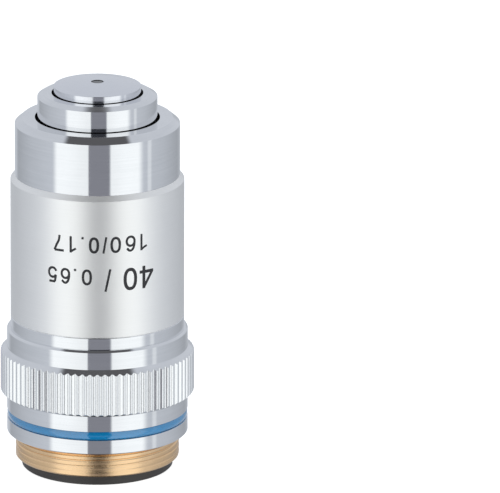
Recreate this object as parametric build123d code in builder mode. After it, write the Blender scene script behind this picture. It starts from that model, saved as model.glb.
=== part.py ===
from build123d import *
import os

# Microscope objective with a sprung, retracting lens barrel.
# Millimetres. +Z runs along the optical axis, from the mounting thread to the front lens.
# The origin is on that axis, in the plane of the mounting shoulder.

os.makedirs("parts", exist_ok=True)

# ---------------------------------------------------------------- driving dimensions
# mounting end
thread_r = 10.13            # crest radius of the male 0.8 inch thread
thread_length = 3.25        # from the shoulder towards the rear
thread_end_chamfer = 0.18
neck_r = 9.40               # plain neck of the thread ring, inside the collar
neck_length = 8.0
thread_ring_bore_r = 8.52

stop_ring_r = 9.34          # black ring below the thread
stop_ring_rear_z = -4.50
stop_ring_neck_r = 8.50
stop_ring_neck_z = 2.0
stop_ring_bore_r = 7.60

# knurled collar
collar_r = 11.20
collar_edge = 0.12
relief_r = 10.25            # thread relief in the shoulder face
relief_depth = 0.30
groove_z0, groove_z1 = 1.82, 2.94   # groove of the colour band
groove_r = 10.90
band_r = 11.14                      # enamel, a little below the collar's surface
knurl_z0, knurl_crest_z1, knurl_z1 = 5.07, 10.32, 10.93
knurl_r = 12.00
flute_count = 80
flute_depth = 0.25
flute_radius = 0.38
knurl_rear_edge = 0.30
upper_collar_z1 = 13.35
upper_collar_edge = 0.25
step_r = 10.74                      # polished band, same radius as the sleeve
seam_z = 14.86                      # joint between collar and sleeve
spigot_r = 10.08
spigot_z1 = 19.00
collar_bore_r = 9.42                # takes the neck of the thread ring
ledge_z0, ledge_z1 = 8.0, 12.0      # inner ledge that carries the guide bush
ledge_r = 8.60
spigot_bore_r = 9.30

# outer sleeve
sleeve_r = 10.74
sleeve_edge_z = 32.34               # start of the front chamfer
sleeve_z1 = 32.96
sleeve_front_r = 10.24
sleeve_lower_bore_r = 10.10
sleeve_bore_r = 9.60
skirt_z0 = 27.0                     # skirt of the nose cover inside the sleeve
skirt_r = 9.90
skirt_clear = 0.02

# nose cover
cover_r = 10.20
cover_edge_z = 39.43
cover_z1 = 40.18
cover_front_r = 9.31
cover_hole_r = 7.67
cover_bore_r = 9.30
cover_wall_z0 = 38.55

# guide bush, pin, washer, spring
bush_r = 9.28
bush_z1 = 20.0
bush_bore_r = 7.36
pin_r = 0.60
pin_z = 16.2
pin_inner_r = 6.90
washer_t = 0.5
washer_inner_r = 7.50
washer_outer_r = 9.20
spring_mean_r = 8.30
spring_wire_r = 0.35
spring_turns = 8.0

# moving lens barrel
travel = 2.0                        # how far the barrel can be pushed back
nose_r = 7.41
nose_edge_z = 42.86
nose_z1 = 43.30
nose_front_r = 6.67
flange_r = 9.24
flange_t = 2.0
barrel_r = 7.30
barrel_z0 = 9.0
barrel_rear_bore_r = 6.20
barrel_rear_bore_z1 = 22.0
stack_bore_r = 5.42
stack_top_z = 38.80
nose_bore_r = 4.62
slot_width = 1.30
slot_floor_r = 6.80
slot_z0, slot_z1 = 15.4, 19.0

# front lens cell
cell_r = 5.40
cell_seat_r = 5.62            # shallow recess in the barrel's front face, round the cell
cell_seat_z = 42.80
cell_side_z = 44.20
cell_rim_r = 5.02
cell_rim_z = 44.26
cell_apex_z = 44.68
lens_recess_r = 0.76
lens_flat_z = 44.62
lens_flat_r = 0.66
cell_spigot_r = 4.60
cell_spigot_z0 = 39.00

# optics
front_lens_R = 1.60
stack_r = 5.40
d1_z0, d1_cell_h = 34.60, 4.20
d1_r, d1_seat_r, d1_lip = 4.00, 3.50, 0.50
d1_R1, d1_R2, d1_edge, d1_flint_mid = 7.5, 6.0, 0.60, 0.80
d2_z0, d2_cell_h = 25.00, 4.20
d2_r, d2_seat_r, d2_lip = 4.60, 4.10, 0.50
d2_R1, d2_R2, d2_edge, d2_flint_mid = 10.0, 8.0, 0.60, 0.90
spacer_inner_r = 4.80
stop_t = 0.50
stop_hole_r = 2.40
lock_t = 1.80
lock_inner_r = 4.10
lock_slot_w = 1.20
lock_slot_depth = 0.80


# Every turned piece below is a closed half profile (radius, height), drawn in the XZ plane
# and revolved about the optical axis.

# ---------------------------------------------------------------- mounting thread ring, brass
with BuildPart() as mount_thread_ring:
    with BuildSketch(Plane.XZ):
        with BuildLine():
            Polyline(
                (thread_ring_bore_r, -thread_length),
                (thread_r - thread_end_chamfer, -thread_length),
                (thread_r, -thread_length + thread_end_chamfer),
                (thread_r, 0),
                (neck_r, 0),
                (neck_r, neck_length),
                (thread_ring_bore_r, neck_length),
                close=True,
            )
        make_face()
    revolve(axis=Axis.Z)
mount_thread_ring.part.label = "mount_thread_ring"
export_step(mount_thread_ring.part, "parts/mount_thread_ring.step")

# ---------------------------------------------------------------- black ring behind the thread
with BuildPart() as rear_stop_ring:
    with BuildSketch(Plane.XZ):
        with BuildLine():
            Polyline(
                (stop_ring_bore_r, stop_ring_rear_z),
                (stop_ring_r, stop_ring_rear_z),
                (stop_ring_r, -thread_length),
                (stop_ring_neck_r, -thread_length),
                (stop_ring_neck_r, stop_ring_neck_z),
                (stop_ring_bore_r, stop_ring_neck_z),
                close=True,
            )
        make_face()
    revolve(axis=Axis.Z)
    rear_edges = rear_stop_ring.edges().filter_by(GeomType.CIRCLE).group_by(Axis.Z)[0]
    chamfer(rear_edges, length=0.15)
rear_stop_ring.part.label = "rear_stop_ring"
export_step(rear_stop_ring.part, "parts/rear_stop_ring.step")

# ---------------------------------------------------------------- knurled collar
with BuildPart() as knurled_collar:
    with BuildSketch(Plane.XZ):
        with BuildLine():
            Polyline(
                (collar_bore_r, relief_depth),
                (relief_r, relief_depth),
                (relief_r, 0),
                (collar_r - collar_edge, 0),
                (collar_r, collar_edge),
                (collar_r, groove_z0),
                (groove_r, groove_z0),
                (groove_r, groove_z1),
                (collar_r, groove_z1),
                (collar_r, knurl_z0),
                (knurl_r - knurl_rear_edge, knurl_z0),
                (knurl_r, knurl_z0 + knurl_rear_edge),
                (knurl_r, knurl_crest_z1),
                (collar_r, knurl_z1),
                (collar_r, upper_collar_z1 - upper_collar_edge),
                (collar_r - upper_collar_edge, upper_collar_z1),
                (step_r, upper_collar_z1),
                (step_r, seam_z),
                (spigot_r, seam_z),
                (spigot_r, spigot_z1),
                (spigot_bore_r, spigot_z1),
                (spigot_bore_r, ledge_z1),
                (ledge_r, ledge_z1),
                (ledge_r, ledge_z0),
                (collar_bore_r, ledge_z0),
                close=True,
            )
        make_face()
    revolve(axis=Axis.Z)
    # round flutes of the grip, cut along the axis
    with BuildSketch(Plane.XY.offset(knurl_z0 - 0.05)):
        with PolarLocations(knurl_r - flute_depth + flute_radius, flute_count):
            Circle(flute_radius)
    extrude(amount=knurl_z1 - knurl_z0 + 0.10, mode=Mode.SUBTRACT)
knurled_collar.part.label = "knurled_collar"
export_step(knurled_collar.part, "parts/knurled_collar.step")

# ---------------------------------------------------------------- colour band in the collar's groove
with BuildPart() as color_band:
    with BuildSketch(Plane.XY.offset(groove_z0)):
        Circle(band_r)
        Circle(groove_r, mode=Mode.SUBTRACT)
    extrude(amount=groove_z1 - groove_z0)
color_band.part.label = "color_band"
export_step(color_band.part, "parts/color_band.step")

# ---------------------------------------------------------------- outer sleeve
with BuildPart() as outer_sleeve:
    with BuildSketch(Plane.XZ):
        with BuildLine():
            Polyline(
                (sleeve_lower_bore_r, seam_z),
                (sleeve_r, seam_z),
                (sleeve_r, sleeve_edge_z),
                (sleeve_front_r, sleeve_z1),
                (skirt_r + skirt_clear, sleeve_z1),
                (skirt_r + skirt_clear, skirt_z0),
                (sleeve_bore_r, skirt_z0),
                (sleeve_bore_r, spigot_z1 + 0.1),
                (sleeve_lower_bore_r, spigot_z1 + 0.1),
                close=True,
            )
        make_face()
    revolve(axis=Axis.Z)
outer_sleeve.part.label = "outer_sleeve"
export_step(outer_sleeve.part, "parts/outer_sleeve.step")

# ---------------------------------------------------------------- nose cover
with BuildPart() as nose_cover:
    with BuildSketch(Plane.XZ):
        with BuildLine():
            Polyline(
                (cover_bore_r, skirt_z0 + 0.1),
                (skirt_r, skirt_z0 + 0.1),
                (skirt_r, sleeve_z1),
                (cover_r, sleeve_z1),
                (cover_r, cover_edge_z),
                (cover_front_r, cover_z1),
                (cover_hole_r, cover_z1),
                (cover_hole_r, cover_wall_z0),
                (cover_bore_r, cover_wall_z0),
                close=True,
            )
        make_face()
    revolve(axis=Axis.Z)
nose_cover.part.label = "nose_cover"
export_step(nose_cover.part, "parts/nose_cover.step")

# ---------------------------------------------------------------- guide bush and its pin
with BuildPart() as guide_bush:
    with BuildSketch(Plane.XY.offset(ledge_z1)):
        Circle(bush_r)
        Circle(bush_bore_r, mode=Mode.SUBTRACT)
    extrude(amount=bush_z1 - ledge_z1)
    chamfer(
        guide_bush.edges().filter_by(GeomType.CIRCLE).sort_by(SortBy.RADIUS)[:2],
        length=0.2,
    )
    # radial hole for the guide pin, on the side away from the viewer
    with BuildSketch(Plane.XZ.offset(-bush_r - 1)):
        with Locations((0, pin_z)):
            Circle(pin_r)
    extrude(amount=4.0, mode=Mode.SUBTRACT)
guide_bush.part.label = "guide_bush"
export_step(guide_bush.part, "parts/guide_bush.step")

with BuildPart() as guide_pin:
    with BuildSketch(Plane.XZ.offset(-(bush_r - 0.15))):
        with Locations((0, pin_z)):
            Circle(pin_r)
    extrude(amount=bush_r - 0.15 - pin_inner_r)
    chamfer(guide_pin.edges().filter_by(GeomType.CIRCLE).sort_by(Axis.Y)[0], length=0.12)
guide_pin.part.label = "guide_pin"
export_step(guide_pin.part, "parts/guide_pin.step")

# ---------------------------------------------------------------- spring washer and return spring
washer_z1 = bush_z1 + washer_t
with BuildPart() as spring_washer:
    with BuildSketch(Plane.XY.offset(bush_z1)):
        Circle(washer_outer_r)
        Circle(washer_inner_r, mode=Mode.SUBTRACT)
    extrude(amount=washer_t)
spring_washer.part.label = "spring_washer"
export_step(spring_washer.part, "parts/spring_washer.step")

flange_z0 = cover_wall_z0 - flange_t
spring_z0 = washer_z1 + spring_wire_r
spring_height = flange_z0 - washer_z1 - 2 * spring_wire_r
with BuildPart() as return_spring:
    with BuildLine() as spring_line:
        Helix(
            pitch=spring_height / spring_turns,
            height=spring_height,
            radius=spring_mean_r,
            center=(0, 0, spring_z0),
        )
    with BuildSketch(Plane(origin=spring_line.line @ 0, z_dir=spring_line.line % 0)):
        Circle(spring_wire_r)
    sweep(path=spring_line.line, is_frenet=True)
return_spring.part.label = "return_spring"
export_step(return_spring.part, "parts/return_spring.step")

# ---------------------------------------------------------------- moving lens barrel
with BuildPart() as lens_barrel:
    with BuildSketch(Plane.XZ):
        with BuildLine():
            Polyline(
                (barrel_rear_bore_r, barrel_z0),
                (barrel_r - 0.15, barrel_z0),
                (barrel_r, barrel_z0 + 0.15),
                (barrel_r, flange_z0),
                (flange_r, flange_z0),
                (flange_r, cover_wall_z0),
                (nose_r, cover_wall_z0),
                (nose_r, nose_edge_z),
                (nose_front_r, nose_z1),
                (cell_seat_r, nose_z1),
                (cell_seat_r, cell_seat_z),
                (nose_bore_r, cell_seat_z),
                (nose_bore_r, stack_top_z),
                (stack_bore_r, stack_top_z),
                (stack_bore_r, barrel_rear_bore_z1),
                (barrel_rear_bore_r, barrel_rear_bore_z1 - 0.6),
                close=True,
            )
        make_face()
    revolve(axis=Axis.Z)
    # slot in which the guide pin runs
    with BuildSketch(Plane.XZ.offset(-slot_floor_r)):
        with Locations((0, (slot_z0 + slot_z1) / 2)):
            SlotOverall(slot_z1 - slot_z0, slot_width, rotation=90)
    extrude(amount=-2.0, mode=Mode.SUBTRACT)
lens_barrel.part.label = "lens_barrel"
export_step(lens_barrel.part, "parts/lens_barrel.step")

# ---------------------------------------------------------------- front lens and its cell
lens_centre_z = lens_flat_z - (front_lens_R**2 - lens_flat_r**2) ** 0.5
with BuildPart() as front_lens:
    with BuildSketch(Plane.XZ):
        with BuildLine():
            Line((0, lens_centre_z - front_lens_R), (0, lens_flat_z))
            Line((0, lens_flat_z), (lens_flat_r, lens_flat_z))
            ThreePointArc(
                (lens_flat_r, lens_flat_z),
                (front_lens_R, lens_centre_z),
                (0, lens_centre_z - front_lens_R),
            )
        make_face()
    revolve(axis=Axis.Z)
front_lens.part.label = "front_lens"
export_step(front_lens.part, "parts/front_lens.step")

# the cell grips the lens from just below its equator up to the edge of its flat
cell_throat_r = 1.25
cell_throat_z = lens_centre_z - (front_lens_R**2 - cell_throat_r**2) ** 0.5
with BuildPart() as front_lens_cell:
    with BuildSketch(Plane.XZ):
        with BuildLine():
            Polyline(
                (lens_flat_r, lens_flat_z),
                (lens_recess_r, cell_apex_z),
                (2.4, cell_apex_z - 0.11),
                (3.9, cell_apex_z - 0.26),
                (cell_rim_r, cell_rim_z),
                (cell_r, cell_side_z),
                (cell_r, cell_seat_z),
                (cell_spigot_r, cell_seat_z),
                (cell_spigot_r, cell_spigot_z0),
                (3.50, cell_spigot_z0),
                (cell_throat_r, cell_throat_z),
            )
            ThreePointArc(
                (cell_throat_r, cell_throat_z),
                (front_lens_R, lens_centre_z),
                (lens_flat_r, lens_flat_z),
            )
        make_face()
    revolve(axis=Axis.Z)
front_lens_cell.part.label = "front_lens_cell"
export_step(front_lens_cell.part, "parts/front_lens_cell.step")

# ---------------------------------------------------------------- first cemented doublet and its cell
d1_seat_z = d1_z0 + d1_lip
d1_sag1 = d1_R1 - (d1_R1**2 - d1_r**2) ** 0.5
d1_sag2 = d1_R2 - (d1_R2**2 - d1_r**2) ** 0.5
d1_join_z = d1_seat_z + d1_flint_mid            # cemented face on the axis
d1_join_edge_z = d1_join_z + d1_sag2
d1_top_edge_z = d1_join_edge_z + d1_edge
d1_top_z = d1_top_edge_z + d1_sag1

with BuildPart() as doublet_1_cell:
    with BuildSketch(Plane.XZ):
        with BuildLine():
            Polyline(
                (d1_seat_r, d1_z0),
                (stack_r, d1_z0),
                (stack_r, d1_z0 + d1_cell_h),
                (d1_r + 0.35, d1_z0 + d1_cell_h),
                (d1_r, d1_top_edge_z),
                (d1_r, d1_seat_z),
                (d1_seat_r, d1_seat_z),
                close=True,
            )
        make_face()
    revolve(axis=Axis.Z)
doublet_1_cell.part.label = "doublet_1_cell"
export_step(doublet_1_cell.part, "parts/doublet_1_cell.step")

with BuildPart() as doublet_1_flint:
    with BuildSketch(Plane.XZ):
        with BuildLine():
            Polyline((0, d1_join_z), (0, d1_seat_z), (d1_r, d1_seat_z), (d1_r, d1_join_edge_z))
            RadiusArc((d1_r, d1_join_edge_z), (0, d1_join_z), d1_R2)
        make_face()
    revolve(axis=Axis.Z)
doublet_1_flint.part.label = "doublet_1_flint"
export_step(doublet_1_flint.part, "parts/doublet_1_flint.step")

with BuildPart() as doublet_1_crown:
    with BuildSketch(Plane.XZ):
        with BuildLine():
            Line((0, d1_top_z), (0, d1_join_z))
            RadiusArc((0, d1_join_z), (d1_r, d1_join_edge_z), -d1_R2)
            Line((d1_r, d1_join_edge_z), (d1_r, d1_top_edge_z))
            RadiusArc((d1_r, d1_top_edge_z), (0, d1_top_z), -d1_R1)
        make_face()
    revolve(axis=Axis.Z)
doublet_1_crown.part.label = "doublet_1_crown"
export_step(doublet_1_crown.part, "parts/doublet_1_crown.step")

# ---------------------------------------------------------------- spacer tube
with BuildPart() as spacer_tube:
    with BuildSketch(Plane.XY.offset(d2_z0 + d2_cell_h)):
        Circle(stack_r)
        Circle(spacer_inner_r, mode=Mode.SUBTRACT)
    extrude(amount=d1_z0 - d2_z0 - d2_cell_h)
spacer_tube.part.label = "spacer_tube"
export_step(spacer_tube.part, "parts/spacer_tube.step")

# ---------------------------------------------------------------- second cemented doublet and its cell
d2_seat_z = d2_z0 + d2_lip
d2_sag1 = d2_R1 - (d2_R1**2 - d2_r**2) ** 0.5
d2_sag2 = d2_R2 - (d2_R2**2 - d2_r**2) ** 0.5
d2_join_z = d2_seat_z + d2_flint_mid
d2_join_edge_z = d2_join_z + d2_sag2
d2_top_edge_z = d2_join_edge_z + d2_edge
d2_top_z = d2_top_edge_z + d2_sag1

with BuildPart() as doublet_2_cell:
    with BuildSketch(Plane.XZ):
        with BuildLine():
            Polyline(
                (d2_seat_r, d2_z0),
                (stack_r, d2_z0),
                (stack_r, d2_z0 + d2_cell_h),
                (d2_r + 0.25, d2_z0 + d2_cell_h),
                (d2_r, d2_top_edge_z),
                (d2_r, d2_seat_z),
                (d2_seat_r, d2_seat_z),
                close=True,
            )
        make_face()
    revolve(axis=Axis.Z)
doublet_2_cell.part.label = "doublet_2_cell"
export_step(doublet_2_cell.part, "parts/doublet_2_cell.step")

with BuildPart() as doublet_2_flint:
    with BuildSketch(Plane.XZ):
        with BuildLine():
            Polyline((0, d2_join_z), (0, d2_seat_z), (d2_r, d2_seat_z), (d2_r, d2_join_edge_z))
            RadiusArc((d2_r, d2_join_edge_z), (0, d2_join_z), d2_R2)
        make_face()
    revolve(axis=Axis.Z)
doublet_2_flint.part.label = "doublet_2_flint"
export_step(doublet_2_flint.part, "parts/doublet_2_flint.step")

with BuildPart() as doublet_2_crown:
    with BuildSketch(Plane.XZ):
        with BuildLine():
            Line((0, d2_top_z), (0, d2_join_z))
            RadiusArc((0, d2_join_z), (d2_r, d2_join_edge_z), -d2_R2)
            Line((d2_r, d2_join_edge_z), (d2_r, d2_top_edge_z))
            RadiusArc((d2_r, d2_top_edge_z), (0, d2_top_z), -d2_R1)
        make_face()
    revolve(axis=Axis.Z)
doublet_2_crown.part.label = "doublet_2_crown"
export_step(doublet_2_crown.part, "parts/doublet_2_crown.step")

# ---------------------------------------------------------------- aperture stop
stop_z0 = d2_z0 - stop_t
with BuildPart() as aperture_stop:
    with BuildSketch(Plane.XZ):
        with BuildLine():
            Polyline(
                (stop_hole_r, stop_z0 + stop_t - 0.12),
                (stop_hole_r + 0.38, stop_z0),
                (stack_r, stop_z0),
                (stack_r, stop_z0 + stop_t),
                (stop_hole_r, stop_z0 + stop_t),
                close=True,
            )
        make_face()
    revolve(axis=Axis.Z)
aperture_stop.part.label = "aperture_stop"
export_step(aperture_stop.part, "parts/aperture_stop.step")

# ---------------------------------------------------------------- slotted lock ring
lock_z0 = stop_z0 - lock_t
with BuildPart() as lens_lock_ring:
    with BuildSketch(Plane.XY.offset(lock_z0)):
        Circle(stack_r)
        Circle(lock_inner_r, mode=Mode.SUBTRACT)
    extrude(amount=lock_t)
    # two slots for a spanner wrench, in the rear face
    with BuildSketch(Plane.XY.offset(lock_z0)):
        Rectangle(2 * stack_r + 1, lock_slot_w)
    extrude(amount=lock_slot_depth, mode=Mode.SUBTRACT)
lens_lock_ring.part.label = "lens_lock_ring"
export_step(lens_lock_ring.part, "parts/lens_lock_ring.step")
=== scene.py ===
import math

import bpy
import numpy as np
from mathutils import Matrix, Vector
from mathutils.geometry import delaunay_2d_cdt


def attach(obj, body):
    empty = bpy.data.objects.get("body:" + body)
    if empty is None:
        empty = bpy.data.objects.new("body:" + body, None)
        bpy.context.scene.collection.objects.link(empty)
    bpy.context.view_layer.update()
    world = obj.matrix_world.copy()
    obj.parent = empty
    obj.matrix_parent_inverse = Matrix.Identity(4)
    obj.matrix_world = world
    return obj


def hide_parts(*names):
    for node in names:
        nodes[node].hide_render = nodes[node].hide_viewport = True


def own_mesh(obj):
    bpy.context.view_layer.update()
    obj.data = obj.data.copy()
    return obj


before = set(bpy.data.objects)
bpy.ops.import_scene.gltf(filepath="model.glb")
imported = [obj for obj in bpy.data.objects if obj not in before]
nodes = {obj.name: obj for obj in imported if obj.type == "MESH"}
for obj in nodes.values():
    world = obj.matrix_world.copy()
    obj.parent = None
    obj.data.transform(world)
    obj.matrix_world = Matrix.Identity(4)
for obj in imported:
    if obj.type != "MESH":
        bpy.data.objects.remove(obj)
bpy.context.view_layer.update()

scene = bpy.context.scene

# Profiles are in millimetres as (radius, height). An azimuth of 0 is -Y, the side with the engraved
# numbers, and it grows towards +X.
MM = 0.001


# ------------------------------------------------------------------ turned profiles
def profile(corners):
    """Rounds every corner (r, z, fillet, tag) of a closed half profile.
    Returns rows (r, z, nr, nz, tag) with the exact normal in each; tag names the face that starts there."""
    pts = [np.array(c[:2], float) for c in corners]
    n = len(pts)
    area = sum(pts[i][0] * pts[(i + 1) % n][1] - pts[(i + 1) % n][0] * pts[i][1] for i in range(n))
    if area < 0:
        raise ValueError("the profile runs clockwise")
    rows = []
    for i, c in enumerate(corners):
        a, b, d = pts[i - 1], pts[i], pts[(i + 1) % n]
        u, v = (b - a), (d - b)
        lu, lv = np.hypot(*u), np.hypot(*v)
        u, v = u / lu, v / lv
        turn = math.atan2(u[0] * v[1] - u[1] * v[0], float(u @ v))
        f = c[2] if len(c) > 2 and c[2] else 0.012
        tan = math.tan(abs(turn) / 2)
        cut = min(f * tan, 0.42 * lu, 0.42 * lv)
        steps = max(2, int(math.ceil(abs(turn) / math.radians(22)))) if f > 0.02 else 2
        n0, n1 = np.array([u[1], -u[0]]), np.array([v[1], -v[0]])
        rad = cut / tan if tan > 1e-9 else 0.0
        if cut < 0.0015:                     # hardly a corner: one row with the mean normal
            nn = n0 + n1
            nn = nn / np.hypot(*nn)
            rows.append((b[0], b[1], nn[0], nn[1], c[3] if len(c) > 3 else 0, 1.0, i))
            continue
        start = b - u * cut
        side = np.array([-u[1], u[0]]) * (1 if turn > 0 else -1)
        centre = start + side * rad
        for k in range(steps + 1):
            ang = turn * k / steps
            ca, sa = math.cos(ang), math.sin(ang)
            nn = np.array([n0[0] * ca - n0[1] * sa, n0[0] * sa + n0[1] * ca])
            q = centre + nn * rad * (1 if turn > 0 else -1)
            rows.append((q[0], q[1], nn[0], nn[1], c[3] if len(c) > 3 else 0, k / steps, i))
    return rows


class Grid:
    """Rows round the axis. R, Z and the normal's three parts are arrays of rows by columns."""

    def __init__(self, R, Z, NR, NT, NZ, tags, closed=True):
        self.R, self.Z, self.NR, self.NT, self.NZ = R, Z, NR, NT, NZ
        self.tags, self.closed = tags, closed

    def arrays(self, skip=None):
        rows, cols = self.R.shape
        phi = np.arange(cols) * 2 * math.pi / cols
        s, c = np.sin(phi)[None], np.cos(phi)[None]
        P = np.stack([self.R * s, -self.R * c, self.Z], -1).reshape(-1, 3)
        N = np.stack([self.NR * s + self.NT * c, -self.NR * c + self.NT * s, self.NZ], -1).reshape(-1, 3)
        N /= np.linalg.norm(N, axis=1)[:, None]
        faces, tags = [], []
        last = rows if self.closed else rows - 1
        pole = self.R[:, 0] < 1e-7
        for i in range(last):
            k = (i + 1) % rows
            if np.allclose(self.R[i], self.R[k], atol=1e-6) and np.allclose(self.Z[i], self.Z[k], atol=1e-6):
                continue                     # two rows in one place: a sharp edge
            for j in range(cols):
                m = (j + 1) % cols
                if skip and skip(i, j):
                    continue
                if pole[i] and pole[k]:
                    continue
                if pole[i]:
                    faces.append((i * cols, k * cols + m, k * cols + j))
                elif pole[k]:
                    faces.append((i * cols + j, i * cols + m, k * cols))
                else:
                    faces.append((i * cols + j, i * cols + m, k * cols + m, k * cols + j))
                tags.append(self.tags[i])
        return P, N, faces, tags


def make_mesh(name, P, faces, tags, materials, corner_normals, body, nodes_replaced):
    used = np.zeros(len(P), bool)
    for f in faces:
        used[list(f)] = True
    new = np.cumsum(used) - 1
    P = P[used] * MM
    faces = [tuple(int(new[v]) for v in f) for f in faces]
    mesh = bpy.data.meshes.new(name)
    mesh.from_pydata(P.tolist(), [], faces)
    for m in materials:
        mesh.materials.append(m)
    mesh.polygons.foreach_set("material_index", np.array(tags, np.int32))
    mesh.polygons.foreach_set("use_smooth", np.ones(len(faces), bool))
    mesh.update()
    mesh.normals_split_custom_set(corner_normals.tolist())
    o = bpy.data.objects.new(name, mesh)
    scene.collection.objects.link(o)
    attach(o, body)
    if nodes_replaced:
        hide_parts(*nodes_replaced)
    return o


def build(name, grid, materials, body, nodes_replaced):
    P, N, faces, tags = grid.arrays()
    corner = np.array([N[v] for f in faces for v in f])
    return make_mesh(name, P, faces, tags, materials, corner, body, nodes_replaced)


def lathe(name, corners, materials, body, nodes_replaced, segs=256):
    rows = profile(corners)
    col = np.ones((1, segs))
    a = np.array([r[:4] for r in rows], float)
    g = Grid(a[:, 0:1] * col, a[:, 1:2] * col, a[:, 2:3] * col, np.zeros((len(rows), segs)), a[:, 3:4] * col, [r[4] for r in rows])
    return build(name, g, materials, body, nodes_replaced)


# ------------------------------------------------------------------ material nodes
def nodes_of(material):
    material.use_nodes = True
    t = material.node_tree
    t.nodes.clear()
    return t


class Tree:
    """Short names for the nodes that every material here is made of."""

    def __init__(self, tree):
        self.t = tree

    def node(self, kind, **props):
        n = self.t.nodes.new(kind)
        for k, v in props.items():
            setattr(n, k, v)
        return n

    def link(self, a, b):
        self.t.links.new(a, b)

    def math(self, op, a, b=None, c=None, clamp=False):
        n = self.node("ShaderNodeMath", operation=op, use_clamp=clamp)
        for i, v in enumerate((a, b, c)):
            if v is None:
                continue
            if isinstance(v, (int, float)):
                n.inputs[i].default_value = v
            else:
                self.link(v, n.inputs[i])
        return n.outputs[0]

    def smooth(self, x, a, b):
        """0 below a, 1 above b, smooth between."""
        n = self.node("ShaderNodeMapRange", interpolation_type="SMOOTHSTEP")
        self.link(x, n.inputs["Value"])
        n.inputs["From Min"].default_value = a
        n.inputs["From Max"].default_value = b
        return n.outputs["Result"]

    def band(self, x, a0, a1, b0, b1):
        up = self.smooth(x, a0, a1)
        down = self.smooth(x, b0, b1)
        return self.math("MULTIPLY", up, self.math("SUBTRACT", 1.0, down))

    def mix(self, f, a, b):
        n = self.node("ShaderNodeMix", data_type="RGBA")
        for sock, v in ((n.inputs[0], f), (n.inputs[6], a), (n.inputs[7], b)):
            if isinstance(v, (int, float)):
                sock.default_value = v
            elif isinstance(v, tuple):
                sock.default_value = (*v, 1.0)
            else:
                self.link(v, sock)
        return n.outputs[2]

    def ramp(self, x, stops):
        n = self.node("ShaderNodeValToRGB")
        e = n.color_ramp.elements
        e[0].position, e[0].color = stops[0][0], (*stops[0][1], 1.0)
        e[1].position, e[1].color = stops[-1][0], (*stops[-1][1], 1.0)
        for p, col in stops[1:-1]:
            e.new(p).color = (*col, 1.0)
        self.link(x, n.inputs[0])
        return n.outputs["Color"]

    def noise(self, vec, scale, detail=2.0, rough=0.5):
        n = self.node("ShaderNodeTexNoise")
        n.inputs["Scale"].default_value = scale
        n.inputs["Detail"].default_value = detail
        n.inputs["Roughness"].default_value = rough
        self.link(vec, n.inputs["Vector"])
        return n.outputs["Fac"]

    def range(self, x, lo, hi, f0=0.0, f1=1.0):
        n = self.node("ShaderNodeMapRange")
        self.link(x, n.inputs["Value"])
        n.inputs["From Min"].default_value = f0
        n.inputs["From Max"].default_value = f1
        n.inputs["To Min"].default_value = lo
        n.inputs["To Max"].default_value = hi
        return n.outputs["Result"]

    def turned(self, per_mm, around=0.10):
        """A vector whose noise runs round the axis, as the marks of a lathe do."""
        tc = self.node("ShaderNodeTexCoord")
        sep = self.node("ShaderNodeSeparateXYZ")
        self.link(tc.outputs["Object"], sep.inputs[0])
        x, y, z = (self.math("MULTIPLY", sep.outputs[i], 1000.0) for i in range(3))
        r = self.math("SQRT", self.math("ADD", self.math("MULTIPLY", x, x), self.math("MULTIPLY", y, y)))
        along = self.math("MULTIPLY", self.math("ADD", self.math("MULTIPLY", r, 1.3), z), per_mm)
        comb = self.node("ShaderNodeCombineXYZ")
        self.link(self.math("MULTIPLY", x, around), comb.inputs[0])
        self.link(self.math("MULTIPLY", y, around), comb.inputs[1])
        self.link(along, comb.inputs[2])
        return comb.outputs[0]

    def millimetres(self):
        tc = self.node("ShaderNodeTexCoord")
        m = self.node("ShaderNodeVectorMath", operation="SCALE")
        m.inputs["Scale"].default_value = 1000.0
        self.link(tc.outputs["Object"], m.inputs[0])
        return m.outputs[0]


def metal(name, lo, hi, rough, marks, depth_um, blotch=0.0, metallic=1.0, grain=0.0, grain_um=0.0, **sockets):
    """Machined or plated metal: colour and roughness vary a little along the lathe marks,
    the marks themselves are a bump, and grain adds a blasted texture."""
    m = bpy.data.materials.new(name)
    t = Tree(nodes_of(m))
    out = t.node("ShaderNodeOutputMaterial")
    b = t.node("ShaderNodeBsdfPrincipled")
    t.link(b.outputs[0], out.inputs[0])
    b.inputs["Metallic"].default_value = metallic
    for k, v in sockets.items():
        b.inputs[k.replace("_", " ")].default_value = v
    lines = t.noise(t.turned(marks), 1.0, 3.0, 0.6)
    cloud = t.noise(t.millimetres(), 0.35, 3.0, 0.55)
    mixed = t.math("ADD", t.math("MULTIPLY", lines, 0.6), t.math("MULTIPLY", cloud, 0.4))
    t.link(t.ramp(mixed, [(0.30, lo), (0.70, hi)]), b.inputs["Base Color"])
    t.link(t.range(mixed, rough[0], rough[1], 0.3, 0.7), b.inputs["Roughness"])
    bump = t.node("ShaderNodeBump")
    bump.inputs["Strength"].default_value = 1.0
    bump.inputs["Distance"].default_value = depth_um * 1e-6
    t.link(lines, bump.inputs["Height"])
    if grain:
        g = t.node("ShaderNodeBump")
        g.inputs["Strength"].default_value = 1.0
        g.inputs["Distance"].default_value = grain_um * 1e-6
        t.link(t.noise(t.millimetres(), grain, 2.0, 0.6), g.inputs["Height"])
        t.link(g.outputs[0], bump.inputs["Normal"])
    t.link(bump.outputs[0], b.inputs["Normal"])
    return m


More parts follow.
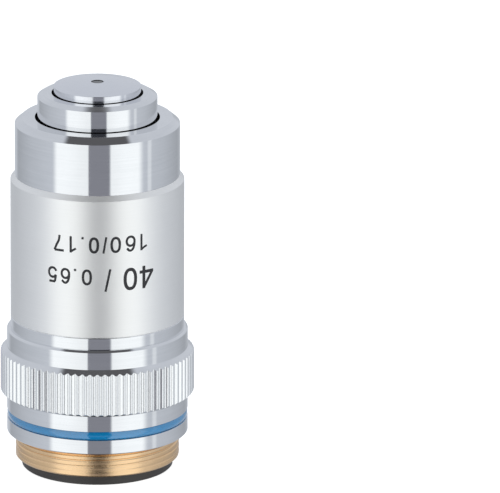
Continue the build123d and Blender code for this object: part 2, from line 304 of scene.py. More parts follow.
chrome = metal("polished_plating", (0.765, 0.775, 0.79), (0.835, 0.842, 0.855), (0.04, 0.09), 4.5, 0.12)
chrome_knurl = metal("knurled_plating", (0.86, 0.868, 0.872), (0.92, 0.926, 0.928), (0.17, 0.24), 6.0, 0.10)
satin = metal("satin_plating", (0.955, 0.950, 0.935), (0.995, 0.990, 0.975), (0.44, 0.47), 14.0, 0.10, grain=22.0, grain_um=0.4)
satin_fine = metal("fine_satin_plating", (0.755, 0.765, 0.80), (0.80, 0.81, 0.845), (0.10, 0.15), 12.0, 0.10)
brass = metal("turned_brass", (0.86, 0.585, 0.325), (0.94, 0.655, 0.39), (0.22, 0.30), 7.0, 0.45)
brass_bush = metal("bush_brass", (0.72, 0.50, 0.26), (0.82, 0.60, 0.34), (0.22, 0.34), 8.0, 0.5)
steel = metal("spring_steel", (0.46, 0.47, 0.49), (0.58, 0.59, 0.61), (0.22, 0.34), 5.0, 0.2)
black = metal("black_finish", (0.020, 0.018, 0.017), (0.045, 0.040, 0.036), (0.42, 0.55), 10.0, 0.4, metallic=0.0, grain=16.0, grain_um=0.5)
# near-black with weak specular: the blackened bores inside the lens unit, and painted shade on the walls of the gap
# between the nose cover and the lens barrel
blackened_bore_and_gap_shade = metal("blackened_bore_and_gap_shade", (0.004, 0.004, 0.005), (0.010, 0.010, 0.012), (0.55, 0.7), 8.0, 0.5, metallic=0.0, Specular_IOR_Level=0.2)
enamel = metal("blue_enamel", (0.000, 0.185, 0.420), (0.001, 0.215, 0.480), (0.06, 0.12), 1.5, 0.25, metallic=0.05, IOR=1.55,
               Specular_IOR_Level=0.7, Coat_Weight=0.9, Coat_Roughness=0.04, Coat_IOR=1.7)
ink = metal("filled_number", (0.010, 0.010, 0.012), (0.022, 0.022, 0.025), (0.45, 0.6), 6.0, 0.3, metallic=0.0, grain=30.0, grain_um=0.6)


def glass_material(name, tint_and_shade_lo, tint_and_shade_hi, ior):
    m = bpy.data.materials.new(name)
    t = Tree(nodes_of(m))
    out = t.node("ShaderNodeOutputMaterial")
    b = t.node("ShaderNodeBsdfPrincipled")
    t.link(b.outputs[0], out.inputs[0])
    b.inputs["IOR"].default_value = ior
    b.inputs["Transmission Weight"].default_value = 0.92
    b.inputs["Coat Weight"].default_value = 0.25
    b.inputs["Coat Roughness"].default_value = 0.02
    cloud = t.noise(t.millimetres(), 0.6, 2.0)
    t.link(t.ramp(cloud, [(0.3, tint_and_shade_lo), (0.7, tint_and_shade_hi)]), b.inputs["Base Color"])
    t.link(t.range(cloud, 0.0, 0.03), b.inputs["Roughness"])
    return m


glass = glass_material("optical_glass", (0.86, 0.92, 0.93), (0.93, 0.96, 0.97), 1.52)
# front lens: clear glass given a near-black tint, painted shade for the dark interior seen through it
lens_glass_darkened_as_shade = glass_material("front_lens_glass", (0.05, 0.055, 0.06), (0.10, 0.11, 0.12), 1.60)

# ------------------------------------------------------------------ camera, as the photo's viewpoint
ELEV, DIST, PX_PER_MM = math.radians(16.54), 1600.0, 8.0515
ROLL = math.radians(0.2014)           # keeps the object's axis upright in the frame
# offsets of the axis point at the rest plane from the frame's centre, in millimetres
OFF_X, OFF_Y = -18.86, -26.90
look = Vector((0, math.cos(ELEV), -math.sin(ELEV)))
up = Vector((0, math.sin(ELEV), math.cos(ELEV)))
right = Vector((1, 0, 0))
spot = Vector((0, 0, -4.5)) - look * DIST - right * OFF_X - up * OFF_Y
cam_data = bpy.data.cameras.new("camera")
cam_data.sensor_width = 36.0
cam_data.lens = PX_PER_MM * DIST / 500 * 36.0
cam_data.clip_start, cam_data.clip_end = 0.05, 60.0
cam = bpy.data.objects.new("camera", cam_data)
turn = Matrix((right, up, -look)).transposed()
swing = Matrix.Rotation(-math.atan2(spot.x, -spot.y), 4, "Z")     # the camera stands at azimuth 0
cam.matrix_world = swing @ Matrix.Translation(spot * MM) @ turn.to_4x4() @ Matrix.Rotation(ROLL, 4, "Z")
scene.collection.objects.link(cam)
scene.camera = cam

# ------------------------------------------------------------------ knurled collar
COLLAR_R, KNURL_R, FLUTES, DEPTH = 11.20, 12.00, 80, 0.25
KZ0, KZ_CREST, KZ1 = 5.07, 10.32, 10.93
PER = 10


def collar_corners(rf):
    slope = (KZ1 - KZ_CREST) / (KNURL_R - COLLAR_R)
    return [
        (9.42, 0.30), (10.25, 0.30), (10.25, 0, 0.03),
        (11.08, 0, 0.02), (11.20, 0.12, 0.03), (11.20, 1.82, 0.02),
        (10.90, 1.82), (10.90, 2.94), (11.20, 2.94, 0.02),
        (11.20, KZ0), (11.70, KZ0, 0.02), (rf, KZ0 + rf - 11.70, 0.03, 1), (rf, KZ1 - (rf - COLLAR_R) * slope, 0.03), (11.20, KZ1, 0.02),
        (11.20, 13.10, 0.03), (10.95, 13.35, 0.03), (10.745, 13.35),
        (10.74, 14.78, 0.03), (10.66, 14.86), (10.08, 14.86), (10.08, 19.00), (9.30, 19.00), (9.30, 12.00), (8.60, 12.00),
        (8.60, 8.00), (9.42, 8.00),
    ]


def collar_grid():
    cols = FLUTES * PER
    cache = {}
    for j in range(PER):
        u = ((j / PER) + 0.5) % 1.0          # a flute's middle at azimuth 0
        w = 0.5 - 0.5 * math.cos(2 * math.pi * u)
        rf = KNURL_R - DEPTH * w ** 1.25
        dw = 1.25 * max(w, 1e-9) ** 0.25 * 0.5 * math.sin(2 * math.pi * u) * 2 * math.pi
        drdphi = -DEPTH * dw * FLUTES / (2 * math.pi)
        cache[j] = (profile(collar_corners(rf)), -drdphi / rf)
    n = len(cache[0][0])
    R, Z, NR, NT, NZ = (np.zeros((n, cols)) for _ in range(5))
    wall_start, wall_end = 11, 12
    for j in range(cols):
        rows, tau = cache[j % PER]
        for i, (r, z, nr, nz, tag, t, corner) in enumerate(rows):
            R[i, j], Z[i, j], NR[i, j], NZ[i, j] = r, z, nr, nz
            if corner == wall_start:
                NT[i, j] = tau * t
            elif corner == wall_end:
                NT[i, j] = tau * (1 - t)
    tags = [r[4] for r in cache[0][0]]
    return Grid(R, Z, NR, NT, NZ, tags)


build("knurled_collar_turned", collar_grid(), [chrome, chrome_knurl], "housing", ["knurled_collar"])

# ------------------------------------------------------------------ colour band, a flush fill with soft edges
BAND_LO, BAND_HI, BAND_EDGE_R, BAND_TOP_R = 1.82, 2.94, 10.97, 11.16


def band_profile():
    half, mid = (BAND_HI - BAND_LO) / 2, (BAND_HI + BAND_LO) / 2
    rise = BAND_TOP_R - BAND_EDGE_R
    rad = (half * half + rise * rise) / (2 * rise)
    limit = math.asin(half / rad)
    dome = [(BAND_TOP_R - rad + rad * math.cos(a), mid + rad * math.sin(a), 0.2) for a in np.linspace(-limit, limit, 15)]
    return [(10.90, BAND_LO)] + dome + [(10.90, BAND_HI)]


lathe("color_band_enamel", band_profile(), [enamel], "housing", ["color_band"])

# ------------------------------------------------------------------ brass thread, right-hand, 36 turns to the inch
PITCH, CREST = 0.7056, 10.13


def thread_radius(phi, z):
    base = np.minimum(CREST, CREST - 0.18 + (z + 3.25))
    lead = (z - (-2.57) - PITCH * phi / (2 * math.pi)) / PITCH
    d = (lead - np.round(lead)) * PITCH
    depth = np.interp(z, [-3.25, -2.4, -1.2, -0.3, 0.0], [0.03, 0.045, 0.10, 0.19, 0.20])
    groove = depth * np.exp(-((d / 0.11) ** 2)) + 0.03 * depth / 0.2 * (1 + np.cos(2 * math.pi * d / PITCH))
    return np.minimum(base, CREST - groove)


def thread_grid():
    cols, dz = 288, 0.025
    zs = np.arange(-3.25, 0.0001, dz)
    phi = np.arange(cols) * 2 * math.pi / cols
    Z = np.repeat(zs[:, None], cols, 1)
    PH = np.repeat(phi[None], len(zs), 0)
    R = np.minimum(thread_radius(PH, Z), CREST)
    h = 0.004
    dRz = (thread_radius(PH, Z + h) - thread_radius(PH, Z - h)) / (2 * h)
    dRp = (thread_radius(PH + h / 10, Z) - thread_radius(PH - h / 10, Z)) / (2 * h / 10)
    NR, NT, NZ = np.ones_like(R), -dRp / R, -dRz
    length = np.sqrt(NR**2 + NT**2 + NZ**2)
    NR, NT, NZ = NR / length, NT / length, NZ / length
    rest = [(10.02, 0.0), (9.40, 0.0), (9.40, 8.0), (8.52, 8.0), (8.52, -3.25), (9.85, -3.25)]
    rest_rows = []
    for i, (r, z) in enumerate(rest):
        prev = rest[i - 1] if i else (10.13, 0.0)
        nxt = rest[i + 1] if i + 1 < len(rest) else (9.95, -3.25)
        for a, b in ((prev, (r, z)), ((r, z), nxt)):
            d = np.array(b) - np.array(a)
            d = d / np.hypot(*d)
            rest_rows.append((r, z, d[1], -d[0]))
    e = np.ones((1, cols))
    A = np.array(rest_rows)
    # the thread's own end faces start with a copy of its first and last row, so that their edges stay sharp
    first, last_ = R[:1], R[-1:]
    R = np.vstack([R, last_, A[:, 0:1] * e, first])
    NR = np.vstack([NR, 0 * e, A[:, 2:3] * e, 0 * e])
    NT = np.vstack([NT, 0 * e, 0 * A[:, 0:1] * e, 0 * e])
    NZ = np.vstack([NZ, e, A[:, 3:4] * e, -e])
    Z = np.vstack([Z, 0 * e, A[:, 1:2] * e, -3.25 * e])
    return Grid(R, Z, NR, NT, NZ, [0] * len(R))


build("mount_thread_cut", thread_grid(), [brass], "housing", ["mount_thread_ring"])

lathe("rear_stop_ring_turned",
      [(7.60, -4.35, 0.02), (7.75, -4.50, 0.02), (9.17, -4.50, 0.04), (9.34, -4.33, 0.05), (9.34, -3.25, 0.03), (8.50, -3.25), (8.50, 2.0), (7.60, 2.0)],
      [black], "housing", ["rear_stop_ring"])


# ------------------------------------------------------------------ engraved numbers on the sleeve
def arc(cx, cy, rx, ry, a0, a1, n=20, power=2.0):
    out = []
    for k in range(n + 1):
        a = math.radians(a0 + (a1 - a0) * k / n)
        c, s = math.cos(a), math.sin(a)
        out.append((cx + rx * math.copysign(abs(c) ** (2 / power), c), cy + ry * math.copysign(abs(s) ** (2 / power), s)))
    return out


def glyph(ch, u0, u1, h, w):
    """Strokes of a plain numeral between u0 and u1, from its foot at 0 to h, as (points, width, closed)."""
    k = w / 2
    L, Rr, B, T = u0 + k, u1 - k, k, h - k
    mid = (L + Rr) / 2
    if ch == "0":
        return [(arc(mid, h / 2, (Rr - L) / 2, (T - B) / 2, 0, 360, 40, 2.35), w, True)]
    if ch == "1":
        return [([(Rr, 0.0), (Rr, h)], w, False), ([(Rr - 0.02, h - k * 0.9), (Rr - 0.30 * h * 0.55, h * 0.83), (L - k * 0.4, h * 0.735)], w * 0.9, False)]
    if ch == "7":
        return [([(u0, T), (Rr, T)], w, False), ([(Rr, T), (mid + 0.13 * h, h * 0.60), (mid - 0.02 * h, h * 0.32), (mid - 0.07 * h, 0.0)], w, False)]
    if ch == "4":
        sx = u0 + (u1 - u0) * 0.70
        return [([(sx, 0.0), (sx, h)], w, False), ([(u0, h * 0.26), (u1, h * 0.26)], w * 0.95, False), ([(sx - w * 0.1, h - k), (L - k * 0.2, h * 0.27)], w * 0.9, False)]
    if ch == "6":
        by = B + (T - B) * 0.325
        bowl = arc(mid, by, (Rr - L) / 2, (T - B) * 0.325, 0, 360, 36, 2.1)
        back = [(Rr - 0.02, T - (T - B) * 0.16)] + arc(mid + 0.02, T - (T - B) * 0.27, (Rr - L) * 0.40, (T - B) * 0.27, 35, 95, 8) + \
               arc(mid + 0.04, by + 0.05, (Rr - L) / 2 + 0.04, T - by - 0.05, 98, 180, 14, 2.2)
        return [(bowl, w, True), (back, w, False)]
    if ch == "5":
        by = B + (T - B) * 0.345
        return [([(L + 0.18, T), (Rr - 0.04, T)], w, False), ([(L + 0.20, T), (L + 0.06, h * 0.50)], w, False),
                ([(L + 0.06, h * 0.50)] + arc(mid, by, (Rr - L) / 2, (T - B) * 0.345, 128, -140, 26, 2.1) + [(L, B + (T - B) * 0.22)], w, False)]
    if ch == ".":
        return [([(u0, w / 2), (u1, w / 2)], w, False)]
    if ch == "/":
        return [([(u0 + k, 0.0), (u1 - k, h)], w, False)]
    raise ValueError(ch)


def stroke_distance(px, py, strokes):
    """Signed distance to the nearest stroke's edge, negative inside. Open strokes end square."""
    best = np.full(px.shape, 1e9)
    for pts, w, closed in strokes:
        p = np.array(pts, float)
        if closed:
            p = np.vstack([p, p[:1]])
        d = np.full(px.shape, 1e9)
        for i in range(len(p) - 1):
            a, b = p[i], p[i + 1]
            v = b - a
            ll = float(v @ v)
            if ll < 1e-12:
                continue
            t = ((px - a[0]) * v[0] + (py - a[1]) * v[1]) / ll
            tc = np.clip(t, 0, 1)
            dist = np.hypot(px - a[0] - tc * v[0], py - a[1] - tc * v[1]) - w / 2
            length = math.sqrt(ll)
            if not closed and i == 0:
                dist = np.where(t < 0, np.maximum(np.abs((px - a[0]) * v[1] - (py - a[1]) * v[0]) / length - w / 2, -t * length), dist)
            if not closed and i == len(p) - 2:
                dist = np.where(t > 1, np.maximum(np.abs((px - a[0]) * v[1] - (py - a[1]) * v[0]) / length - w / 2, (t - 1) * length), dist)
            d = np.minimum(d, dist)
        best = np.minimum(best, d)
    return best


def contours(strokes, step=0.022):
    """Closed outlines of the strokes, traced on a fine grid."""
    allp = np.array([q for s in strokes for q in s[0]], float)
    w = max(s[1] for s in strokes)
    lo, hi = allp.min(0) - w, allp.max(0) + w
    xs, ys = np.arange(lo[0], hi[0] + step, step), np.arange(lo[1], hi[1] + step, step)
    X, Y = np.meshgrid(xs, ys, indexing="ij")
    D = stroke_distance(X, Y, strokes)
    D = np.where(np.abs(D) < 1e-6, 1e-6, D)
    S = D < 0
    point, link = {}, {}

    def crossing(i, j, k, m):
        key = (i, j, k, m)
        if key not in point:
            f = D[i, j] / (D[i, j] - D[k, m])
            point[key] = (xs[i] + (xs[k] - xs[i]) * f, ys[j] + (ys[m] - ys[j]) * f)
        return key

    for i in range(len(xs) - 1):
        for j in range(len(ys) - 1):
            q = (S[i, j], S[i + 1, j], S[i + 1, j + 1], S[i, j + 1])
            if all(q) or not any(q):
                continue
            e = []
            if q[0] != q[1]:
                e.append(crossing(i, j, i + 1, j))
            if q[1] != q[2]:
                e.append(crossing(i + 1, j, i + 1, j + 1))
            if q[3] != q[2]:
                e.append(crossing(i, j + 1, i + 1, j + 1))
            if q[0] != q[3]:
                e.append(crossing(i, j, i, j + 1))
            for a, b in zip(e[::2], e[1::2]):
                link.setdefault(a, []).append(b)
                link.setdefault(b, []).append(a)
    loops, seen = [], set()
    for start in link:
        if start in seen:
            continue
        loop, at = [start], start
        seen.add(start)
        while True:
            nxt = [k for k in link[at] if k not in seen]
            if not nxt:
                break
            at = nxt[0]
            seen.add(at)
            loop.append(at)
        loops.append(np.array([point[k] for k in loop]))
    return [thin(p) for p in loops if len(p) > 8]


def thin(p, tol=0.0035):
    """Drops the points of a closed outline that lie on a straight run."""
    def rdp(a, b):
        if b - a < 2:
            return []
        v = p[b % len(p)] - p[a]
        L = np.hypot(*v)
        idx = np.arange(a + 1, b)
        q = p[idx] - p[a]
        d = np.abs(q[:, 0] * v[1] - q[:, 1] * v[0]) / L if L > 1e-9 else np.hypot(q[:, 0], q[:, 1])
        k = int(d.argmax())
        if d[k] < tol:
            return []
        m = a + 1 + k
        return rdp(a, m) + [m] + rdp(m, b)
    n = len(p)
    half = n // 2
    keep = [0] + rdp(0, half) + [half] + rdp(half, n)
    return p[sorted(set(keep))]


def engrave(grid, radius, depth, z_lo, z_hi, half_cols, shapes, tag_surface, tag_floor, tag_wall, centre_col=0):
    """Opens a window in a turned wall and refills it with a surface that has the shapes sunk into it.
    shapes holds lists of strokes whose coordinates are (arc length to the right, height)."""
    rows, cols = grid.R.shape
    on_wall = np.abs(grid.R[:, 0] - radius) < 1e-6
    lo = [i for i in range(rows) if on_wall[i] and abs(grid.Z[i, 0] - z_lo) < 1e-6][0]
    hi = [i for i in range(rows) if on_wall[i] and abs(grid.Z[i, 0] - z_hi) < 1e-6][0]
    window = {(centre_col + k) % cols for k in range(-half_cols, half_cols)}
    P, N, faces, tags = grid.arrays(skip=lambda i, j: i == lo and j in window)
    assert hi == lo + 1
    corner = [N[v] for f in faces for v in f]
    step = 2 * math.pi / cols
    ks = list(range(-half_cols, half_cols + 1))
    verts = [(radius * step * k, z_lo) for k in ks] + [(radius * step * k, z_hi) for k in ks]
    ids = [lo * cols + (centre_col + k) % cols for k in ks] + [hi * cols + (centre_col + k) % cols for k in ks]
    m = len(ks)
    edges = [(i, i + 1) for i in range(m - 1)] + [(m + i, m + i + 1) for i in range(m - 1)]
    edges += [(i, m + i) for i in range(m)]
    for strokes in shapes:
        for loop in contours(strokes):
            base = len(verts)
            verts += [tuple(q) for q in loop]
            edges += [(base + i, base + (i + 1) % len(loop)) for i in range(len(loop))]
    out_v, _, tris, orig_v, _, _ = delaunay_2d_cdt([Vector(v) for v in verts], edges, [], 0, 1e-6, True)
    V = np.array([tuple(v) for v in out_v])
    T = np.array([tuple(t) for t in tris])
    C = V[T].mean(1)
    inside = np.zeros(len(T), bool)
    for strokes in shapes:
        near = stroke_distance(C[:, 0], C[:, 1], strokes) < 0
        inside |= near
    ang = V[:, 0] / radius + centre_col * step
    cyl = lambda r: np.stack([r * np.sin(ang), -r * np.cos(ang), V[:, 1]], -1)
    radial = np.stack([np.sin(ang), -np.cos(ang), 0 * ang], -1)
    start = len(P)
    outer = np.full(len(V), -1)
    for new, olds in enumerate(orig_v):
        for o in olds:
            if o < 2 * m:
                outer[new] = ids[o]
    floor_pts, outer_pts = cyl(radius - depth), cyl(radius)
    extra = []
    for i in range(len(V)):
        if outer[i] < 0:
            outer[i] = start + len(extra)
            extra.append(outer_pts[i])
    floor = np.zeros(len(V), int)
    for i in range(len(V)):
        floor[i] = start + len(extra)
        extra.append(floor_pts[i])
    P = np.vstack([P, np.array(extra)])
    owner = {}
    for t, tri in enumerate(T):
        ring = floor if inside[t] else outer
        faces.append(tuple(int(ring[v]) for v in tri))
        tags.append(tag_floor if inside[t] else tag_surface)
        corner += [radial[v] for v in tri]
        for a, b in ((tri[0], tri[1]), (tri[1], tri[2]), (tri[2], tri[0])):
            owner[(int(a), int(b))] = inside[t]
    for (a, b), within in owner.items():
        if not within and owner.get((b, a)) is True or (not within and owner.get((b, a)) == True):
            # metal on this side, sunk floor on the other
            faces.append((int(outer[b]), int(outer[a]), int(floor[a]), int(floor[b])))
            tags.append(tag_wall)
            pa, pb = outer_pts[a], outer_pts[b]
            n = np.cross(radial[a], pb - pa)
            n = -n / np.linalg.norm(n)
            corner += [n] * 4
    return P, faces, tags, np.array(corner)


SLEEVE_R = 10.74


def line_of_text(marks, foot_z):
    """Glyph strokes in sleeve coordinates. The numbers stand on their heads when the lens points up."""
    out = []
    for ch, u0, u1, h, w in marks:
        out.append([([(-u, foot_z - v) for u, v in pts], wd, closed) for pts, wd, closed in glyph(ch, u0, u1, h, w)])
    return out


row_1 = [("1", -6.54, -5.52, 2.08, 0.30), ("6", -4.86, -3.52, 2.08, 0.30), ("0", -2.94, -1.60, 2.08, 0.32), ("/", -1.23, -0.61, 2.08, 0.26),
         ("0", -0.22, 1.055, 2.08, 0.33), (".", 1.69, 1.96, 2.08, 0.30), ("1", 2.58, 3.48, 2.08, 0.30), ("7", 4.23, 5.645, 2.08, 0.30)]
row_2 = [("4", -7.44, -5.42, 2.87, 0.42), ("0", -5.07, -3.26, 2.87, 0.42), ("/", -1.73, -0.86, 2.85, 0.28), ("0", 0.66, 1.93, 2.05, 0.31),
         (".", 2.62, 2.92, 2.05, 0.30), ("6", 3.39, 4.67, 2.05, 0.30), ("5", 5.10, 6.44, 2.05, 0.30)]
WIN_LO, WIN_HI = 19.5, 29.5
sleeve_corners = [
    (10.10, 14.86), (10.66, 14.86), (10.74, 14.94, 0.03), (10.74, 32.34, 0.03), (10.24, 32.96, 0.03), (9.92, 32.96),
    (9.92, 27.0), (9.60, 27.0), (9.60, 19.1), (10.10, 19.1),
]


def sleeve():
    rows = profile(sleeve_corners)
    at = max(i for i, r in enumerate(rows) if r[6] == 2)
    for z in (WIN_HI, WIN_LO):
        rows.insert(at + 1, (SLEEVE_R, z, 1.0, 0.0, 0, 0, -1))
    segs = 256
    col = np.ones((1, segs))
    a = np.array([r[:4] for r in rows], float)
    g = Grid(a[:, 0:1] * col, a[:, 1:2] * col, a[:, 2:3] * col, np.zeros((len(rows), segs)), a[:, 3:4] * col, [0] * len(rows))
    P, faces, tags, corner = engrave(g, SLEEVE_R, 0.045, WIN_LO, WIN_HI, 43, line_of_text(row_1, 27.85) + line_of_text(row_2, 23.72), 0, 1, 1)
    return make_mesh("outer_sleeve_engraved", P, faces, tags, [satin, ink], corner, "housing", ["outer_sleeve"])


sleeve()

# ------------------------------------------------------------------ nose cover
# The cover's bore wall and the ring under it are near-black: painted shade in the gap round the lens barrel.
lathe("nose_cover_turned",
      [(9.30, 27.1), (9.90, 27.1, 0.03), (9.90, 32.96), (10.20, 32.96), (10.20, 39.43, 0.03), (9.31, 40.18, 0.03),
       (7.70, 40.18, 0.02, 1), (7.67, 38.55, 0, 1), (9.30, 38.55, 0, 0)],
      [chrome, blackened_bore_and_gap_shade], "housing", ["nose_cover"])


# ------------------------------------------------------------------ lens barrel with its guide slot
def barrel():
    # The flange top and the outer wall up to z 40.10, which stand in the gap inside the nose cover, are near-black:
    # painted shade. The black of the inner bores is the blackened interior.
    corners = [
        (6.20, 9.0), (7.15, 9.0, 0.02), (7.30, 9.15, 0.02), (7.30, 36.55), (9.24, 36.55, 0.03), (9.24, 38.55, 0.03, 1), (7.41, 38.55, 0, 1),
        (7.41, 40.10, 0), (7.41, 42.86, 0.03), (6.67, 43.30, 0.03), (5.64, 43.30, 0.02, 1), (5.62, 42.80, 0, 1), (4.62, 42.80, 0, 1),
        (4.62, 38.80, 0, 1), (5.42, 38.80, 0, 1), (5.42, 22.0, 0, 1), (6.20, 21.4, 0, 1),
    ]
    rows = profile(corners)
    at = max(i for i, r in enumerate(rows) if r[6] == 2)
    for z in (19.4, 15.0):
        rows.insert(at + 1, (7.30, z, 1.0, 0.0, 0, 0, -1))
    segs = 256
    col = np.ones((1, segs))
    a = np.array([r[:4] for r in rows], float)
    g = Grid(a[:, 0:1] * col, a[:, 1:2] * col, a[:, 2:3] * col, np.zeros((len(rows), segs)), a[:, 3:4] * col, [r[4] for r in rows])
    slot = []
    w = 1.30
    slot.append([([(0.0, 15.4 + w / 2), (0.0, 19.0 - w / 2)], w, False)])
    slot.append([(arc(0.0, 15.4 + w / 2, w / 4, w / 4, 0, 360, 20), w / 2, True)])
    slot.append([(arc(0.0, 19.0 - w / 2, w / 4, w / 4, 0, 360, 20), w / 2, True)])
    slot = [sum(slot, [])]
    P, faces, tags, corner = engrave(g, 7.30, 0.50, 15.0, 19.4, 8, slot, 0, 0, 0, centre_col=128)
    return make_mesh("lens_barrel_turned", P, faces, tags, [chrome, blackened_bore_and_gap_shade], corner, "lens_unit", ["lens_barrel"])


barrel()

# ------------------------------------------------------------------ front lens and its cell
LENS_R, FLAT_R, FLAT_Z, THROAT_R = 1.60, 0.66, 44.62, 1.25
LENS_Z = FLAT_Z - math.sqrt(LENS_R**2 - FLAT_R**2)
THROAT_Z = LENS_Z - math.sqrt(LENS_R**2 - THROAT_R**2)


def lens_cell():
    a0 = math.atan2(THROAT_Z - LENS_Z, THROAT_R)
    a1 = math.atan2(FLAT_Z - LENS_Z, FLAT_R)
    seat = [(LENS_R * math.cos(a), LENS_Z + LENS_R * math.sin(a), 0.001, 1) for a in np.linspace(a1, a0, 14)]
    corners = [
        (4.60, 39.00, 0.02, 1), (4.60, 42.80, 0, 1), (5.40, 42.80, 0, 0), (5.40, 44.20, 0.05), (5.02, 44.26, 0.6), (3.90, 44.42, 1.5), (2.40, 44.57, 1.5),
        (0.76, 44.68, 0.03, 1),
    ] + seat + [(3.50, 39.00, 0, 1)]
    lathe("front_lens_cell_turned", corners, [satin_fine, blackened_bore_and_gap_shade], "lens_unit", ["front_lens_cell"])


lens_cell()


def front_lens():
    a1 = math.atan2(FLAT_Z - LENS_Z, FLAT_R)
    pts = [(0.0, LENS_Z - LENS_R, 0.0, -1.0)]
    for a in np.linspace(-math.pi / 2, a1, 48)[1:]:
        pts.append((LENS_R * math.cos(a), LENS_Z + LENS_R * math.sin(a), math.cos(a), math.sin(a)))
    pts += [(FLAT_R - 0.004, FLAT_Z, 0.0, 1.0), (0.0, FLAT_Z, 0.0, 1.0)]
    segs = 128
    col = np.ones((1, segs))
    a = np.array(pts)
    g = Grid(a[:, 0:1] * col, a[:, 1:2] * col, a[:, 2:3] * col, np.zeros((len(pts), segs)), a[:, 3:4] * col, [0] * len(pts), closed=False)
    build("front_lens_ground", g, [lens_glass_darkened_as_shade], "lens_unit", ["front_lens"])


front_lens()


# ------------------------------------------------------------------ return spring
def spring():
    mean_r, wire, turns, z0, height = 8.30, 0.35, 8.0, 20.85, 36.55 - 20.5 - 0.70
    per, sides = 56, 14
    n = int(turns * per)
    V, F = [], []
    rise = height / (turns * 2 * math.pi)
    for i in range(n + 1):
        a = 2 * math.pi * turns * i / n
        c = np.array([mean_r * math.cos(a), mean_r * math.sin(a), z0 + rise * a])
        tangent = np.array([-mean_r * math.sin(a), mean_r * math.cos(a), rise])
        tangent /= np.linalg.norm(tangent)
        out = np.array([math.cos(a), math.sin(a), 0.0])
        upn = np.cross(tangent, out)
        for k in range(sides):
            b = 2 * math.pi * k / sides
            V.append(c + wire * (math.cos(b) * out + math.sin(b) * upn))
    for i in range(n):
        for k in range(sides):
            m = (k + 1) % sides
            F.append((i * sides + k, i * sides + m, (i + 1) * sides + m, (i + 1) * sides + k))
    F.append(tuple(range(sides))[::-1])
    F.append(tuple(n * sides + k for k in range(sides)))
    mesh = bpy.data.meshes.new("return_spring_wound")
    mesh.from_pydata([tuple(v * MM) for v in V], [], F)
    mesh.materials.append(steel)
    mesh.polygons.foreach_set("use_smooth", [True] * (len(F) - 2) + [False] * 2)
    mesh.update()
    o = bpy.data.objects.new("return_spring_wound", mesh)
    scene.collection.objects.link(o)
    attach(o, "housing")
    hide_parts("return_spring")
    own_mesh(o)


spring()

# ------------------------------------------------------------------ inner nodes that keep their CAD shape
inner = {
    "guide_bush": brass_bush, "guide_pin": steel, "spring_washer": steel,
    "doublet_1_cell": black, "doublet_2_cell": black, "spacer_tube": black, "aperture_stop": black, "lens_lock_ring": black,
    "doublet_1_crown": glass, "doublet_1_flint": glass, "doublet_2_crown": glass, "doublet_2_flint": glass,
}
for name, material in inner.items():
    o = nodes[name]
    if not o.material_slots:
        o.data.materials.append(material)
    for s in o.material_slots:
        s.material = material

# ------------------------------------------------------------------ floor
floor_mesh = bpy.data.meshes.new("floor")
side = 40.0
floor_mesh.from_pydata([(-side, -side, -0.0045), (side, -side, -0.0045), (side, side, -0.0045), (-side, side, -0.0045)], [], [(0, 1, 2, 3)])
floor = bpy.data.objects.new("floor", floor_mesh)
scene.collection.objects.link(floor)
paper = bpy.data.materials.new("pale_floor")
t = Tree(nodes_of(paper))
out = t.node("ShaderNodeOutputMaterial")
b = t.node("ShaderNodeBsdfPrincipled")
b.inputs["Roughness"].default_value = 0.9
b.inputs["Specular IOR Level"].default_value = 0.1
b.inputs["Emission Color"].default_value = (1, 1, 1, 1)
b.inputs["Emission Strength"].default_value = 0.80
t.link(t.ramp(t.noise(t.millimetres(), 0.02, 2.0), [(0.3, (0.78, 0.78, 0.78)), (0.7, (0.82, 0.82, 0.82))]), b.inputs["Base Color"])
t.link(b.outputs[0], out.inputs[0])
floor_mesh.materials.append(paper)
floor.visible_glossy = False

# ------------------------------------------------------------------ studio light: broad soft panels all round
world = bpy.data.worlds.new("studio")
scene.world = world
world.use_nodes = True
world.node_tree.nodes.clear()
w = Tree(world.node_tree)
tc = w.node("ShaderNodeTexCoord")
sep = w.node("ShaderNodeSeparateXYZ")
norm = w.node("ShaderNodeVectorMath", operation="NORMALIZE")
w.link(tc.outputs["Generated"], norm.inputs[0])
w.link(norm.outputs[0], sep.inputs[0])
x, y, z = sep.outputs
az = w.math("MULTIPLY", w.math("ARCTAN2", x, w.math("MULTIPLY", y, -1.0)), 180 / math.pi)
el = w.math("MULTIPLY", w.math("ARCSINE", z), 180 / math.pi)
far = w.math("ABSOLUTE", az)

WHITE, STRIP, DIM, CAP, LOW = (1.13, 1.165, 1.18), (0.26, 0.266, 0.302), (0.045, 0.048, 0.058), (0.115, 0.115, 0.122), (0.10, 0.10, 0.105)


def grey(v):
    return (v, v * 1.055, v * 1.145)


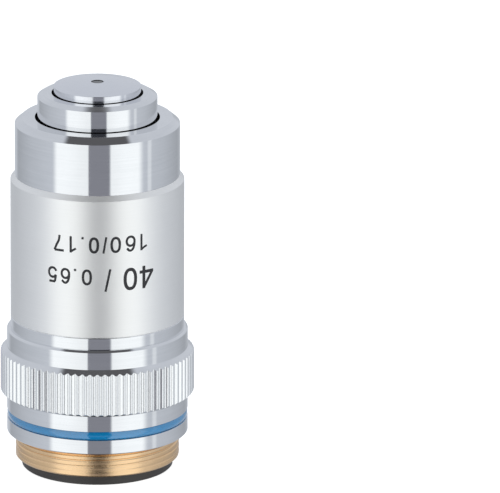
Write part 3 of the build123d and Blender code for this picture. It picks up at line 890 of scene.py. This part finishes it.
# walls: bluish grey that darkens towards the sides; sky: an even bluish grey
side = w.ramp(w.math("DIVIDE", far, 180.0), [(0.36, grey(0.62)), (0.58, grey(0.54)), (0.73, grey(0.45)), (0.82, grey(0.40)), (1.0, grey(0.52))])
lift = w.math("MULTIPLY", w.math("SUBTRACT", 1.0, w.smooth(az, -160.0, -142.0)), 1.0)
side = w.mix(lift, side, grey(0.58))
colour = w.mix(w.smooth(el, -6.0, 8.0), side, (0.635, 0.665, 0.72))
walls = w.math("SUBTRACT", 1.0, w.smooth(el, 40.0, 58.0))
panel = w.mix(w.smooth(far, 10.0, 46.0), tuple(0.90 * v for v in WHITE), WHITE)
left = w.math("MULTIPLY", w.band(az, -66.5, -57.0, -13.0, -11.5), walls)
right_panel = w.math("MULTIPLY", w.band(az, 15.5, 19.5, 58.0, 69.5), walls)
thin_line = w.math("MULTIPLY", w.math("MULTIPLY", w.band(az, 73, 76.5, 79.5, 83), walls), 0.36)
colour = w.mix(thin_line, colour, WHITE)
colour = w.mix(left, colour, panel)
colour = w.mix(right_panel, colour, panel)
strip = w.mix(w.band(el, -28.0, -23.0, -10.0, -5.0), DIM, STRIP)
colour = w.mix(w.band(az, -13.0, -11.5, 15.5, 19.5), colour, strip)
# a dim opening overhead, a little towards the viewer
tilt = math.radians(78)
dot = w.math("ADD", w.math("MULTIPLY", y, -math.cos(tilt)), w.math("MULTIPLY", z, math.sin(tilt)))
from_cap = w.math("MULTIPLY", w.math("ARCCOSINE", dot, clamp=False), 180 / math.pi)
colour = w.mix(w.math("SUBTRACT", 1.0, w.smooth(from_cap, 24.5, 30.0)), colour, CAP)
colour = w.mix(w.math("SUBTRACT", 1.0, w.smooth(el, -68.0, -58.0)), colour, LOW)
lit = w.node("ShaderNodeBackground")
w.link(colour, lit.inputs["Color"])
plain = w.node("ShaderNodeBackground")
plain.inputs["Color"].default_value = (1, 1, 1, 1)
path = w.node("ShaderNodeLightPath")
blend = w.node("ShaderNodeMixShader")
w.link(path.outputs["Is Camera Ray"], blend.inputs[0])
w.link(lit.outputs[0], blend.inputs[1])
w.link(plain.outputs[0], blend.inputs[2])
world_out = w.node("ShaderNodeOutputWorld")
w.link(blend.outputs[0], world_out.inputs[0])

scene.view_settings.view_transform = "Standard"
scene.view_settings.look = "None"
scene.view_settings.exposure = 0.0
scene.view_settings.gamma = 1.0
